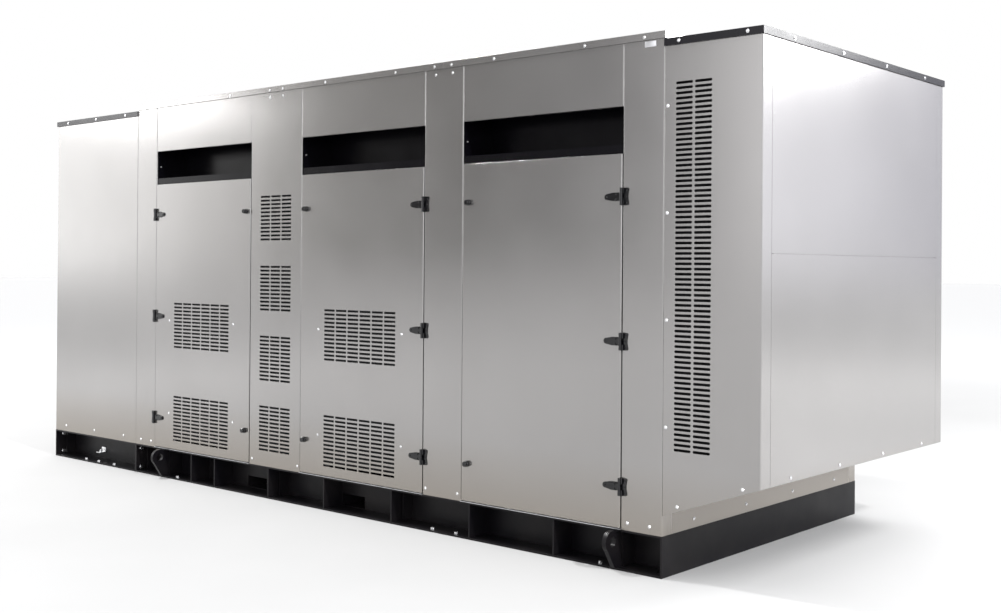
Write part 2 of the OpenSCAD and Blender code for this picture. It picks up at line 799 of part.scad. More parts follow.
module side_screws() {
    for (x = roof_screws_at)
        if (x < body_l - 100)
            translate([body_x0 + x, -roof_overhang, roof_z - roof_flange*0.6]) screw_head();
    // Pairs under each roof seam
    for (x = roof_seams)
        for (s = [-67, 67])
            translate([x + s, 0, roof_z - roof_flange - 30]) screw_head();
    // Feet of the pillars
    for (x = [bay_x[1] + bay_w + 24, bay_x[2] - 26, body_x1 - 73, body_x1 - corner_w + 41,
              bay_x[0] + bay_w + 33, bay_x[1] - 21, body_x0 + 70, body_x0 + 202])
        translate([x, 0, skid_h + 38]) screw_head();
    // Discharge box: foot and cap flange
    for (x = [164, 575, 984]) {
        translate([box_x0 + x, 0, skid_h + 44]) screw_head();
        translate([box_x0 + x, -roof_overhang, cap_z - cap_flange/2]) screw_head();
    }
    // Hood: cap flange, joint with the body and sloped edge
    for (x = [86, hood_l - 77])
        translate([body_x1 + x, -roof_overhang, cap_z - cap_flange/2]) screw_head();
    for (z = [731:515:cap_z - cap_flange - 100])
        translate([body_x1 + 20, 0, z]) screw_head();
    for (x = [89, hood_l - 94])
        translate([body_x1 + x, 0, hood_z_in + 24 + x*(hood_z_out - hood_z_in)/hood_l]) screw_head();
}

// Screws along an end face at level z, heads pointing along +x
module end_row(x, z) {
    for (y = [-741:494:741])
        translate([x, y, z]) rotate([0, 0, 90]) screw_head();
}

module panel_screws() {
    color("white") {
        both_sides() side_screws();
        end_row(hood_x1 + roof_overhang, cap_z - cap_flange/2);
        end_row(hood_x1, hood_z_out + 21);
        end_row(body_x1, skid_h + 45);
        mirror([1, 0, 0]) end_row(-box_x0 + roof_overhang, cap_z - cap_flange/2);
        mirror([1, 0, 0]) end_row(-box_x0, skid_h + 45);
    }
}

// ---------- Generator set ----------

// Cylinder along +x
module x_cylinder(x, y, z, l, r) {
    translate([x, y, z]) rotate([0, 90, 0]) cylinder(h = l, r = r);
}

module engine_block() {
    w = 460;
    color(engine_paint) difference() {
        union() {
            translate([engine_x0, -w/2, crank_z - 140]) cube([engine_l, w, 560]);
            // Timing cover
            translate([engine_x0, -w/2 - 20, crank_z - 120]) cube([70, w + 40, 500]);
            x_cylinder(engine_x1, 0, crank_z, housing_x1 - engine_x1, alternator_r - 20);
            // Cylinder bulges along both sides
            for (i = [0:5])
                for (s = [-1, 1])
                    translate([engine_x0 + 190 + i*250, s*(w/2 - 30), crank_z + 60])
                        cylinder(h = 330, r = 70);
            // Fan bearing bracket and spindle
            translate([pulley_x + 60, -50, crank_z + 160]) cube([engine_x0 - pulley_x - 60, 100, 280]);
            x_cylinder(fan_x - 60, 0, fan_z, engine_x0 - fan_x + 60, 20);
            x_cylinder(pulley_x + 50, 0, fan_z, engine_x0 - pulley_x - 50, 55);
            // Front and rear mounting feet
            for (i = [0, 1])
                for (s = [-1, 1]) {
                    translate([body_x0 + mount_xs[i] - 60, s*(mount_y[i] - 10) - 60, skid_h + mount_h])
                        cube([120, 120, foot_t]);
                    translate([body_x0 + mount_xs[i], s*(mount_y[i] + 205)/2, skid_h + mount_h + foot_t])
                        translate([-15, (205 - mount_y[i])/2, 0])
                            cube([30, mount_y[i] - 205, crank_z - skid_h - mount_h - foot_t - 60]);
                }
            // Fuel filters and starter on the front side
            translate([engine_x0 + 300, -w/2 - 70, crank_z + 110]) cylinder(h = 220, r = 55);
            translate([engine_x0 + 450, -w/2 - 70, crank_z + 110]) cylinder(h = 220, r = 55);
            translate([engine_x0 + 240, -w/2 - 90, crank_z + 330]) cube([270, 100, 40]);
            x_cylinder(engine_x1 - 420, -w/2 - 60, crank_z + 40, 420, 75);
        }
        x_cylinder(engine_x0 - 60, 0, crank_z, 130, 35 + running);
    }
}

module cylinder_head() {
    top = crank_z + 420;
    color(engine_paint) {
        translate([engine_x0 + 60, -190, top]) cube([engine_l - 110, 380, 120]);
        for (i = [0:5])
            translate([engine_x0 + 80 + i*256, -150, top + 120]) cube([236, 300, 110]);
        // Intake manifold
        x_cylinder(engine_x0 + 200, -240, top + 60, engine_l - 400, 60);
    }
}

module oil_pan() {
    color(black)
        translate([engine_x0 + 80, -200, skid_h + 90])
            cube([engine_l - 160, 400, crank_z - 140 - skid_h - 90]);
}

module crank_pulley() {
    color(black) difference() {
        union() {
            x_cylinder(pulley_x, 0, crank_z, pulley_w, crank_pulley_r);
            x_cylinder(pulley_x - 6, 0, crank_z, 6, crank_pulley_r + 12);
            x_cylinder(pulley_x + pulley_w, 0, crank_z, 6, crank_pulley_r + 12);
            x_cylinder(pulley_x - 20, 0, crank_z, engine_x0 - pulley_x + 80, 35);
        }
        for (a = [0:60:300])
            translate([pulley_x - 10, 0, crank_z]) rotate([a, 0, 0])
                translate([0, 75, 0]) rotate([0, 90, 0]) cylinder(h = pulley_w + 30, r = 18);
    }
}

// Flat belt round both pulleys
module belt_plan(extra) {
    hull() {
        circle(crank_pulley_r + extra, $fn = 64);
        translate([fan_rise, 0]) circle(fan_pulley_r + extra, $fn = 64);
    }
}

module fan_belt() {
    color([0.04, 0.04, 0.04]) translate([pulley_x + 2, 0, crank_z]) rotate([0, -90, 0]) mirror([0, 0, 1])
        linear_extrude(pulley_w - 4) difference() {
            belt_plan(10);
            belt_plan(free_gap);
        }
}

module cooling_fan() {
    color([0.75, 0.2, 0.1]) difference() {
        union() {
            x_cylinder(fan_x - 50, 0, fan_z, 100, 110);
            x_cylinder(fan_x + 50, 0, fan_z, pulley_x - fan_x - 50, 50);
            x_cylinder(pulley_x, 0, fan_z, pulley_w, fan_pulley_r);
            x_cylinder(pulley_x - 6, 0, fan_z, 6, fan_pulley_r + 12);
            x_cylinder(pulley_x + pulley_w, 0, fan_z, 6, fan_pulley_r + 12);
            for (a = [0:45:315])
                translate([fan_x, 0, fan_z]) rotate([a, 0, 0]) translate([0, 0, 90])
                    rotate([0, 0, 35]) translate([-4, -80, 0]) cube([8, 160, fan_r - 105]);
        }
        x_cylinder(fan_x - 61, 0, fan_z, 120 + pulley_x - fan_x, 20 + running);
    }
}

// Shallow box behind the radiator's core with a ring round the fan
module fan_shroud() {
    t = 4;
    z0 = skid_h + 150;
    h = radiator_h - 290;
    x0 = radiator_x + radiator_t;
    color(black) {
        for (s = [-1, 1])
            translate([x0, s*(radiator_w/2 - 62) - t/2, z0]) cube([80, t, h]);
        for (z = [z0, z0 + h - t])
            translate([x0, -radiator_w/2 + 60, z]) cube([80, radiator_w - 120, t]);
        difference() {
            translate([x0 + 80, -radiator_w/2 + 60, z0]) cube([t, radiator_w - 120, h]);
            x_cylinder(x0 + 79, 0, fan_z, t + 2, fan_r + 20);
        }
        difference() {
            x_cylinder(x0 + 80, 0, fan_z, 130, fan_r + 24);
            x_cylinder(x0 + 79, 0, fan_z, 132, fan_r + 20);
        }
    }
}

radiator_top = skid_h + radiator_h;
neck_y = -radiator_w/2 + 260;
neck_r = 34;

module radiator() {
    w = radiator_w;
    color(black) {
        // Core with side channels, bottom and top tanks
        translate([radiator_x + 20, -w/2 + 50, skid_h + 140])
            cube([radiator_t - 40, w - 100, radiator_h - 280]);
        for (s = [-1, 1])
            translate([radiator_x, s*(w/2 - 25) - 25, skid_h]) cube([radiator_t, 50, radiator_h - 20]);
        translate([radiator_x, -w/2 + 50, skid_h + 20]) cube([radiator_t, w - 100, 120]);
        translate([radiator_x, -w/2 + 50, radiator_top - 140]) cube([radiator_t, w - 100, 140]);
        // Filler neck
        translate([radiator_x + radiator_t/2, neck_y, radiator_top]) cylinder(h = 40, r = neck_r - 6);
        // Hose stubs on the tanks
        x_cylinder(radiator_x + radiator_t, 300, radiator_top - 70, 60, 40);
        x_cylinder(radiator_x + radiator_t, 300, skid_h + 80, 60, 45);
    }
}

module radiator_cap() {
    color("silver") translate([radiator_x + radiator_t/2, neck_y, radiator_top + 40 + free_gap]) {
        cylinder(h = 12, r = neck_r);
        for (a = [0, 90])
            rotate([0, 0, a]) translate([-neck_r - 12, -9, 4]) cube([2*neck_r + 24, 18, 8]);
        translate([0, 0, 12]) cylinder(h = 10, r = neck_r - 10);
    }
}

// Straight hose runs joined by ball-shaped elbows
module hose(points, r) {
    for (i = [0:len(points) - 2]) {
        v = points[i + 1] - points[i];
        l = norm(v);
        translate(points[i]) rotate([0, acos(v[2]/l), atan2(v[1], v[0])]) cylinder(h = l, r = r);
        if (i > 0)
            translate(points[i]) sphere(r + 2);
    }
}

module coolant_hoses() {
    x0 = radiator_x + radiator_t + 60;
    top_x = engine_x0 + 100;
    low_x = engine_x0 - 10;
    top_z = radiator_top - 70;
    color([0.05, 0.05, 0.05]) {
        hose([[x0, 300, top_z], [top_x, 300, top_z], [top_x, 300, crank_z + 485],
              [top_x, 190, crank_z + 485]], 38);
        hose([[x0, 300, skid_h + 80], [low_x, 300, skid_h + 80], [low_x, 300, crank_z - 60],
              [engine_x0 + 200, 300, crank_z - 60], [engine_x0 + 200, 230, crank_z - 60]], 42);
    }
}

module air_cleaner() {
    z = crank_z + 900;
    x = engine_x0 + 700;
    color(silver) {
        x_cylinder(x, -210, z, 640, 165);
        x_cylinder(x + 640, -210, z, 40, 120);
        x_cylinder(x - 30, -210, z, 30, 140);
        // Outlet pipe down to the intake manifold
        translate([x + 120, -240, crank_z + 540]) cylinder(h = 220, r = 55);
        // Saddle brackets on the rocker covers
        for (dx = [330, 480])
            translate([x + dx, -140, crank_z + 650]) cube([30, 60, z - crank_z - 780]);
    }
}

module exhaust_silencer() {
    turbo_x = engine_x0 + 620;
    elbow_r = tail_r + 4;
    color([0.45, 0.43, 0.4]) {
        // Exhaust manifold and turbocharger
        x_cylinder(engine_x0 + 160, 246, crank_z + 480, engine_l - 320, 55);
        for (i = [0:5])
            translate([engine_x0 + 170 + i*256, 190, crank_z + 450]) cube([70, 50, 60]);
        x_cylinder(turbo_x - 60, exhaust_y, crank_z + 560, 180, 110);
        // Pipe up and along under the roof, through the end wall
        translate([turbo_x + 30, exhaust_y, crank_z + 600])
            cylinder(h = silencer_z - crank_z - 600, r = tail_r);
        translate([turbo_x + 30, exhaust_y, silencer_z]) sphere(elbow_r);
        x_cylinder(silencer_x, exhaust_y, silencer_z, turbo_x + 30 - silencer_x, tail_r);
        // Silencer across the discharge box, hung from the roof by two straps
        translate([silencer_x, 600, silencer_z]) rotate([90, 0, 0]) cylinder(h = 1200, r = silencer_r);
        for (s = [-1, 1]) {
            translate([silencer_x, s*460 + 20, silencer_z]) rotate([90, 0, 0])
                cylinder(h = 40, r = silencer_r + 8);
            translate([silencer_x - 30, s*460 - 20, silencer_z + 150])
                cube([60, 40, cap_panel_top - silencer_z - 150]);
        }
        // Tail pipe, open at the top, with the rain cap's hinge ears and pin
        difference() {
            translate([silencer_x, 0, silencer_z]) cylinder(h = tail_z - silencer_z, r = tail_r);
            translate([silencer_x, 0, silencer_z + silencer_r + 20])
                cylinder(h = tail_z, r = tail_r - 6);
        }
        for (s = [-1, 1])
            translate([silencer_x + tail_r - 5, s*18 - 4, tail_z - 34]) cube([30, 8, 46]);
        translate([silencer_x + tail_r + 14, 20, tail_z + 4]) rotate([90, 0, 0]) cylinder(h = 40, r = 4);
    }
}

module rain_cap() {
    x = silencer_x + tail_r + 14;
    color("silver") difference() {
        union() {
            translate([silencer_x, 0, tail_z + free_gap]) cylinder(h = 4, r = tail_r + 8);
            translate([silencer_x + tail_r - 12, -12, tail_z + free_gap]) cube([26, 24, 8]);
            translate([x, -12, tail_z + 4]) rotate([-90, 0, 0]) cylinder(h = 24, r = 8);
            // Counterweight arm
            translate([x, -12, tail_z + 2]) cube([34, 24, 6]);
        }
        translate([x, -14, tail_z + 4]) rotate([-90, 0, 0]) cylinder(h = 28, r = 4 + running);
        // Clear of the ears
        for (s = [-1, 1])
            translate([silencer_x + tail_r - 16, s*18 - 5, tail_z - 10]) cube([40, 10, 40]);
    }
}

module alternator() {
    x0 = housing_x1;
    color(engine_paint) {
        x_cylinder(x0, 0, crank_z, 120, alternator_r + 10);
        x_cylinder(x0 + 120, 0, crank_z, alternator_l - 260, alternator_r);
        x_cylinder(x0 + alternator_l - 140, 0, crank_z, 140, alternator_r - 20);
        for (a = [0:20:340])
            translate([x0 + 140, 0, crank_z]) rotate([a, 0, 0])
                translate([0, -6, alternator_r - 5]) cube([alternator_l - 300, 12, 22]);
        // Terminal box on top
        translate([x0 + 200, -300, crank_z + 280]) cube([640, 600, 420]);
        // Feet on the rear cross member
        for (s = [-1, 1]) {
            translate([body_x0 + mount_xs[2] - 70, s*mount_y[2] - 60, skid_h + mount_h])
                cube([140, 120, foot_t]);
            translate([body_x0 + mount_xs[2] - 15, s*mount_y[2] - 30, skid_h + mount_h + foot_t])
                cube([30, 60, crank_z - skid_h - mount_h - foot_t - 100]);
        }
    }
}

button_x = control_x0 + control_w - 110;
button_z = control_z0 + control_h - 330;
breaker_x = control_x0 + 170;
breaker_z = control_z0 + 330;

module control_box() {
    y0 = control_y;
    color([0.3, 0.31, 0.33]) {
        difference() {
            translate([control_x0, y0, control_z0]) cube([control_w, control_d, control_h]);
            translate([button_x, y0 - 1, button_z]) rotate([-90, 0, 0]) cylinder(h = 40, r = 8 + running);
            translate([breaker_x - 40, y0 - 1, breaker_z - 60]) cube([80, 60, 120]);
        }
        // Bezel of the display and the breaker's pivot
        translate([control_x0 + 60, y0 - 6, control_z0 + control_h - 360]) cube([330, 6, 260]);
        translate([breaker_x - 40, y0 + 30, breaker_z]) rotate([0, 90, 0]) cylinder(h = 80, r = 6);
        // Pedestal down to the skid
        for (x = [control_x0 + 40, control_x0 + control_w - 100])
            for (y = [y0 + 20, y0 + control_d - 80])
                translate([x, y, skid_h]) cube([60, 60, control_z0 - skid_h]);
    }
}

module stop_button() {
    color("red") translate([button_x, control_y, button_z]) rotate([90, 0, 0]) {
        translate([0, 0, -30]) cylinder(h = 42, r = 8);
        translate([0, 0, 12]) cylinder(h = 14, r = 24);
    }
}

module breaker_handle() {
    color(black) difference() {
        union() {
            x_cylinder(breaker_x - 14, control_y + 30, breaker_z, 28, 14);
            translate([breaker_x - 14, control_y - 40, breaker_z - 9]) cube([28, 70, 18]);
        }
        translate([breaker_x - 20, control_y + 30, breaker_z]) rotate([0, 90, 0])
            cylinder(h = 40, r = 6 + running);
    }
}

module batteries() {
    y0 = web_y - 420;
    color([0.08, 0.08, 0.09]) translate([body_x0 + cross_at[4], y0, skid_h]) {
        translate([-cross_w/2, 0, 0]) cube([260, 420, 12]);
        for (i = [0, 1])
            translate([-cross_w/2 + 10, 10 + i*205, 12]) {
                cube([240, 190, 210]);
                for (x = [50, 190])
                    translate([x, 40, 210]) cylinder(h = 18, r = 9);
            }
    }
}

skid_frame();
skid_extension();
lifting_lugs();
skid_bolts();
rubber_mounts();
plain_pillars();
vented_pillars();
door_headers();
door_sills();
inlet_pockets();
main_roof();
end_roof_caps();
hood_sides();
hood_end_panels();
end_walls();
discharge_panels();
hinge_frame_leaves();
panel_screws();
door(0, FRONT);  // door_front_1
door(1, FRONT);  // door_front_2
door(2, FRONT);  // door_front_3
door(0, REAR);  // door_rear_1
door(1, REAR);  // door_rear_2
door(2, REAR);  // door_rear_3
hinge_door_leaves(0, FRONT);  // hinge_door_leaves_front_1
hinge_door_leaves(1, FRONT);  // hinge_door_leaves_front_2
hinge_door_leaves(2, FRONT);  // hinge_door_leaves_front_3
hinge_door_leaves(0, REAR);  // hinge_door_leaves_rear_1
hinge_door_leaves(1, REAR);  // hinge_door_leaves_rear_2
hinge_door_leaves(2, REAR);  // hinge_door_leaves_rear_3
latch(0, FRONT, UPPER);  // latch_front_1_upper
latch(0, FRONT, LOWER);  // latch_front_1_lower
latch(1, FRONT, UPPER);  // latch_front_2_upper
latch(1, FRONT, LOWER);  // latch_front_2_lower
latch(2, FRONT, UPPER);  // latch_front_3_upper
latch(2, FRONT, LOWER);  // latch_front_3_lower
latch(0, REAR, UPPER);  // latch_rear_1_upper
latch(0, REAR, LOWER);  // latch_rear_1_lower
latch(1, REAR, UPPER);  // latch_rear_2_upper
latch(1, REAR, LOWER);  // latch_rear_2_lower
latch(2, REAR, UPPER);  // latch_rear_3_upper
latch(2, REAR, LOWER);  // latch_rear_3_lower
engine_block();
cylinder_head();
oil_pan();
crank_pulley();
fan_belt();
cooling_fan();
fan_shroud();
radiator();
radiator_cap();
coolant_hoses();
air_cleaner();
exhaust_silencer();
rain_cap();
alternator();
control_box();
stop_button();
breaker_handle();
batteries();
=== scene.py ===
"""Looks of the enclosed standby generator set: materials, small hardware, linings, stage, light and camera."""

import json
import math

import bmesh
import bpy
from mathutils import Matrix, Vector


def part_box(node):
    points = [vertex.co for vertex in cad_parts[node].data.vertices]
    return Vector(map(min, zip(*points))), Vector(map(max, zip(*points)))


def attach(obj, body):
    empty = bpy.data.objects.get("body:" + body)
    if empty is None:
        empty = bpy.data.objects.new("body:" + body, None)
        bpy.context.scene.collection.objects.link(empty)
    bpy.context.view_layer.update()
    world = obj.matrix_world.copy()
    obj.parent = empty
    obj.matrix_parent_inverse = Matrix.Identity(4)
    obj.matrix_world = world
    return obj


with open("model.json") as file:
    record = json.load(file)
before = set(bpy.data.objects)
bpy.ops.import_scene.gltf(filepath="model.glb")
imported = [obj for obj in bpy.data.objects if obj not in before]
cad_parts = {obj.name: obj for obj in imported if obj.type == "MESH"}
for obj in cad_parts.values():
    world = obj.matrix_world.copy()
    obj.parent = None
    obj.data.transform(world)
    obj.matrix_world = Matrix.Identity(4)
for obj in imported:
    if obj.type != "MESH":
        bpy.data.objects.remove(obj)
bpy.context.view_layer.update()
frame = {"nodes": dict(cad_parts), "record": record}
NODES = frame["nodes"]
SIDES = {"front": -1, "rear": 1}

# ---------- Places read from the frame ----------

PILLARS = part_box("plain_pillars")
HALF_W = PILLARS[1][1]
BODY_X1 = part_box("main_roof")[1][0] - 0.008
HOOD_X1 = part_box("hood_end_panels")[1][0]
DISCHARGE_X0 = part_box("discharge_panels")[0][0]
SKID_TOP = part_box("plain_pillars")[0][2]
DOOR_GAP = 0.005
DOOR_PROUD = 0.003
ARM_FACE = 0.011
HINGE_ON_RIGHT = (False, True, True)

# Vents: size of a whole vent, height of the lowest one above the skid, rise to the next one, how many
DOOR_VENT = {"w": 0.642, "h": 0.313, "up": 0.065, "step": 0.648, "count": 2}
PILLAR_VENT = {"w": 0.315, "h": 0.288, "up": 0.099, "step": 0.451, "count": 4}


class Door:
    """Places on one door: across() measures from its bay's hinged edge, out() from the side panels' plane."""

    def __init__(self, side, number):
        low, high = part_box(f"door_{side}_{number}")
        self.body = f"door_{side}_{number}"
        self.sign = SIDES[side]
        self.right = HINGE_ON_RIGHT[number - 1]
        self.vented = number < 3
        self.edge = high[0] + DOOR_GAP if self.right else low[0] - DOOR_GAP
        self.step = -1 if self.right else 1
        self.width = high[0] - low[0] + 2*DOOR_GAP
        self.bottom = low[2]
        self.top = high[2]
        leaf_low, leaf_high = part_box(f"hinge_door_leaves_{side}_{number}")
        first = leaf_low[2] + 0.021
        last = leaf_high[2] - 0.021
        self.hinge_levels = (first, (first + last)/2, last)

    def across(self, distance):
        return self.edge + self.step*distance

    def out(self, distance):
        return self.sign*(HALF_W + distance)

    def point(self, distance, out, level):
        return Vector((self.across(distance), self.out(out), level))


DOORS = [Door(side, number) for side in SIDES for number in (1, 2, 3)]


# ---------- Material building ----------

class Nodes:
    """A small wrapper that builds a node material step by step."""

    def __init__(self, name):
        self.mat = bpy.data.materials.new(name)
        self.mat.use_nodes = True
        self.tree = self.mat.node_tree
        self.shader = self.tree.nodes["Principled BSDF"]
        self.place = self.tree.nodes.new("ShaderNodeTexCoord").outputs["Object"]

    def new(self, kind, **settings):
        node = self.tree.nodes.new(kind)
        for key, value in settings.items():
            setattr(node, key, value)
        return node

    def link(self, a, b):
        self.tree.links.new(a, b)

    def set(self, **values):
        for key, value in values.items():
            self.shader.inputs[key.replace("_", " ")].default_value = value

    def scaled(self, scale):
        """Object coordinates, scaled along each axis."""
        mapping = self.new("ShaderNodeMapping")
        mapping.inputs["Scale"].default_value = scale
        self.link(self.place, mapping.inputs["Vector"])
        return mapping.outputs["Vector"]

    def noise(self, scale, detail=2.0, rough=0.5, stretch=(1, 1, 1)):
        tex = self.new("ShaderNodeTexNoise")
        tex.inputs["Scale"].default_value = scale
        tex.inputs["Detail"].default_value = detail
        tex.inputs["Roughness"].default_value = rough
        self.link(self.scaled(stretch), tex.inputs["Vector"])
        return tex.outputs["Fac"]

    def ramp(self, source, low, high, start=0.35, end=0.65):
        ramp = self.new("ShaderNodeValToRGB")
        ramp.color_ramp.elements[0].position = start
        ramp.color_ramp.elements[1].position = end
        ramp.color_ramp.elements[0].color = (*low, 1)
        ramp.color_ramp.elements[1].color = (*high, 1)
        self.link(source, ramp.inputs["Fac"])
        return ramp.outputs["Color"]

    def span(self, source, low, high):
        """Maps 0..1 to low..high."""
        node = self.new("ShaderNodeMapRange")
        node.inputs["To Min"].default_value = low
        node.inputs["To Max"].default_value = high
        self.link(source, node.inputs["Value"])
        return node.outputs["Result"]

    def mix(self, fac, a, b):
        node = self.new("ShaderNodeMix", data_type="RGBA")
        self.link(fac, node.inputs["Factor"])
        for socket, value in ((node.inputs[6], a), (node.inputs[7], b)):
            if isinstance(value, tuple):
                socket.default_value = (*value, 1)
            else:
                self.link(value, socket)
        return node.outputs[2]

    def height(self, low, high):
        """0 at the height low, 1 at high, in metres above the ground."""
        split = self.new("ShaderNodeSeparateXYZ")
        self.link(self.place, split.inputs["Vector"])
        node = self.new("ShaderNodeMapRange")
        node.inputs["From Min"].default_value = low
        node.inputs["From Max"].default_value = high
        self.link(split.outputs["Z"], node.inputs["Value"])
        return node.outputs["Result"]

    def bump(self, source, strength, distance=0.001, after=None):
        node = self.new("ShaderNodeBump")
        node.inputs["Strength"].default_value = strength
        node.inputs["Distance"].default_value = distance
        self.link(source, node.inputs["Height"])
        if after is not None:
            self.link(after, node.inputs["Normal"])
        return node.outputs["Normal"]


def panel_paint(name, low, high, roughness=0.19, metallic=0.86):
    """Satin silver powder coat: fine flake, slight panel waviness, browner and a little darker towards the
    bottom.
    """
    m = Nodes(name)
    flake = m.noise(900, 2, 0.6)
    cloud = m.noise(0.9, 3, 0.5)
    base = m.ramp(cloud, low, high, 0.3, 0.7)
    speck = m.ramp(flake, (0.86, 0.86, 0.86), (1, 1, 1), 0.3, 0.6)
    tinted = m.new("ShaderNodeMix", data_type="RGBA", blend_type="MULTIPLY")
    tinted.inputs["Factor"].default_value = 0.7
    m.link(base, tinted.inputs[6])
    m.link(speck, tinted.inputs[7])
    # Browner, slightly darker colour below 0.2 m, fading into the plain paint by 0.55 m.
    low_down_tint = m.mix(m.height(0.2, 0.55), (0.33, 0.305, 0.275), tinted.outputs[2])
    m.link(low_down_tint, m.shader.inputs["Base Color"])
    m.link(m.span(m.noise(2.2, 3), roughness - 0.03, roughness + 0.05), m.shader.inputs["Roughness"])
    m.set(Metallic=metallic)
    folds = m.new("ShaderNodeBevel", samples=4)
    folds.inputs["Radius"].default_value = 0.0016
    wave = m.bump(m.noise(1.1, 1, 0.4), 0.25, 0.004, after=folds.outputs["Normal"])
    m.link(m.bump(m.noise(320, 2), 0.06, 0.0004, after=wave), m.shader.inputs["Normal"])
    return m.mat


def black_paint(name, colour=(0.006, 0.006, 0.008), roughness=0.22, gloss=0.2, grain=60, dusty=0.0):
    """Black enamel with slight orange peel and, where dusty, a film of dirt."""
    m = Nodes(name)
    film = (colour[0] + 0.012*dusty, colour[1] + 0.0105*dusty, colour[2] + 0.009*dusty)
    m.link(m.ramp(m.noise(3.0, 4, 0.6), colour, film, 0.4, 0.8), m.shader.inputs["Base Color"])
    m.link(m.span(m.noise(7, 4), roughness, roughness + 0.12 + 0.15*dusty), m.shader.inputs["Roughness"])
    m.set(Specular_IOR_Level=gloss)
    m.link(m.bump(m.noise(grain, 2), 0.10, 0.0005), m.shader.inputs["Normal"])
    return m.mat


def bare_metal(name, low, high, roughness=0.28, stretch=(1, 1, 1), grain=300):
    """Zinc, galvanised or stainless sheet with brushed or spangled variation."""
    m = Nodes(name)
    m.link(m.ramp(m.noise(30, 4, 0.6, stretch), low, high, 0.3, 0.7), m.shader.inputs["Base Color"])
    m.link(m.span(m.noise(12, 3, 0.5, stretch), roughness - 0.06, roughness + 0.12),
           m.shader.inputs["Roughness"])
    m.set(Metallic=1.0)
    m.link(m.bump(m.noise(grain, 3, 0.5, stretch), 0.1, 0.0004), m.shader.inputs["Normal"])
    return m.mat


def rubbery(name, colour=(0.018, 0.018, 0.018), roughness=0.65, grain=400):
    m = Nodes(name)
    lighter = tuple(c*1.8 + 0.004 for c in colour)
    m.link(m.ramp(m.noise(40, 4), colour, lighter, 0.4, 0.8), m.shader.inputs["Base Color"])
    m.link(m.span(m.noise(25, 3), roughness - 0.08, roughness + 0.1), m.shader.inputs["Roughness"])
    m.link(m.bump(m.noise(grain, 2), 0.25, 0.0005), m.shader.inputs["Normal"])
    return m.mat


def shade_dark_foam(name):
    """Charcoal acoustic foam with an egg-crate surface, coloured near-black, partly as painted shade, so vent
    slots in front of it read dark.
    """
    m = Nodes(name)
    cells = m.new("ShaderNodeTexVoronoi", feature="SMOOTH_F1")
    cells.inputs["Scale"].default_value = 26
    m.link(m.place, cells.inputs["Vector"])
    # Near-black cells: the foam's own charcoal, deepened into painted shade.
    m.link(m.ramp(cells.outputs["Distance"], (0.003, 0.003, 0.003), (0.012, 0.012, 0.013), 0.0, 0.6),
           m.shader.inputs["Base Color"])
    m.link(m.span(m.noise(300, 2), 0.85, 0.98), m.shader.inputs["Roughness"])
    m.set(Specular_IOR_Level=0.08)
    lumps = m.bump(cells.outputs["Distance"], 0.8, 0.012)
    m.link(m.bump(m.noise(700, 2), 0.4, 0.001, after=lumps), m.shader.inputs["Normal"])
    return m.mat


def cast_paint(name, low, high, roughness=0.42):
    """Enamel over rough castings, with grime gathering in patches."""
    m = Nodes(name)
    clean = m.ramp(m.noise(6, 4), low, high, 0.35, 0.7)
    grime = m.ramp(m.noise(2.5, 5, 0.65), (0, 0, 0), (1, 1, 1), 0.55, 0.8)
    m.link(m.mix(m.span(grime, 0.0, 0.35), clean, (0.05, 0.04, 0.03)), m.shader.inputs["Base Color"])
    m.link(m.span(m.noise(9, 4), roughness - 0.08, roughness + 0.15), m.shader.inputs["Roughness"])
    m.link(m.bump(m.noise(120, 4, 0.65), 0.3, 0.0015), m.shader.inputs["Normal"])
    return m.mat


def plastic(name, colour, roughness=0.35):
    m = Nodes(name)
    darker = tuple(c*0.82 for c in colour)
    m.link(m.ramp(m.noise(14, 3), darker, colour, 0.3, 0.7), m.shader.inputs["Base Color"])
    m.link(m.span(m.noise(60, 2), roughness - 0.05, roughness + 0.08), m.shader.inputs["Roughness"])
    m.link(m.bump(m.noise(500, 2), 0.12, 0.0003), m.shader.inputs["Normal"])
    return m.mat


MATERIALS = {
    "enclosure_silver": panel_paint("enclosure_silver", (0.35, 0.342, 0.336), (0.385, 0.376, 0.370)),
    "skid_black": black_paint("skid_black", (0.005, 0.0045, 0.006), 0.24, 0.16, dusty=0.8),
    "galvanised": bare_metal("galvanised", (0.62, 0.62, 0.64), (0.74, 0.74, 0.76), 0.3),
    "inlet_black": black_paint("inlet_black", (0.002, 0.0018, 0.003), 0.16, 0.14),
    "cap_black": black_paint("cap_black", (0.004, 0.0035, 0.006), 0.2, 0.3),
    "hardware_black": black_paint("hardware_black", (0.003, 0.003, 0.004), 0.11, 0.5, grain=200),
    "zinc": bare_metal("zinc", (0.70, 0.70, 0.72), (0.86, 0.86, 0.86), 0.22, grain=500),
    "rubber": rubbery("rubber"),
    "engine_paint": cast_paint("engine_paint", (0.46, 0.38, 0.20), (0.54, 0.46, 0.27)),
    "fan_red": cast_paint("fan_red", (0.42, 0.05, 0.03), (0.50, 0.08, 0.05), 0.38),
    "filter_grey": cast_paint("filter_grey", (0.34, 0.35, 0.36), (0.42, 0.43, 0.44), 0.35),
    "exhaust_steel": bare_metal("exhaust_steel", (0.30, 0.25, 0.20), (0.48, 0.44, 0.40), 0.42),
    "cabinet_grey": plastic("cabinet_grey", (0.16, 0.165, 0.175), 0.42),
    "red_plastic": plastic("red_plastic", (0.62, 0.02, 0.02), 0.25),
    "black_plastic": plastic("black_plastic", (0.022, 0.022, 0.024), 0.4),
}
SHADE_DARK_FOAM = shade_dark_foam("acoustic_foam_shade_dark")
GLASS = plastic("display_glass", (0.010, 0.016, 0.022), 0.12)
LAMP_GREEN = plastic("lamp_green", (0.03, 0.42, 0.08), 0.2)
LAMP_AMBER = plastic("lamp_amber", (0.75, 0.32, 0.02), 0.2)
# Darker copy of the silver paint: painted shade for the end walls' strip under the hood's overhang.
SHADED_END_SHEET = panel_paint("end_wall_painted_shade", (0.17, 0.158, 0.152), (0.21, 0.197, 0.19), 0.3)
YELLOW = plastic("ring_yellow", (0.72, 0.50, 0.02), 0.3)


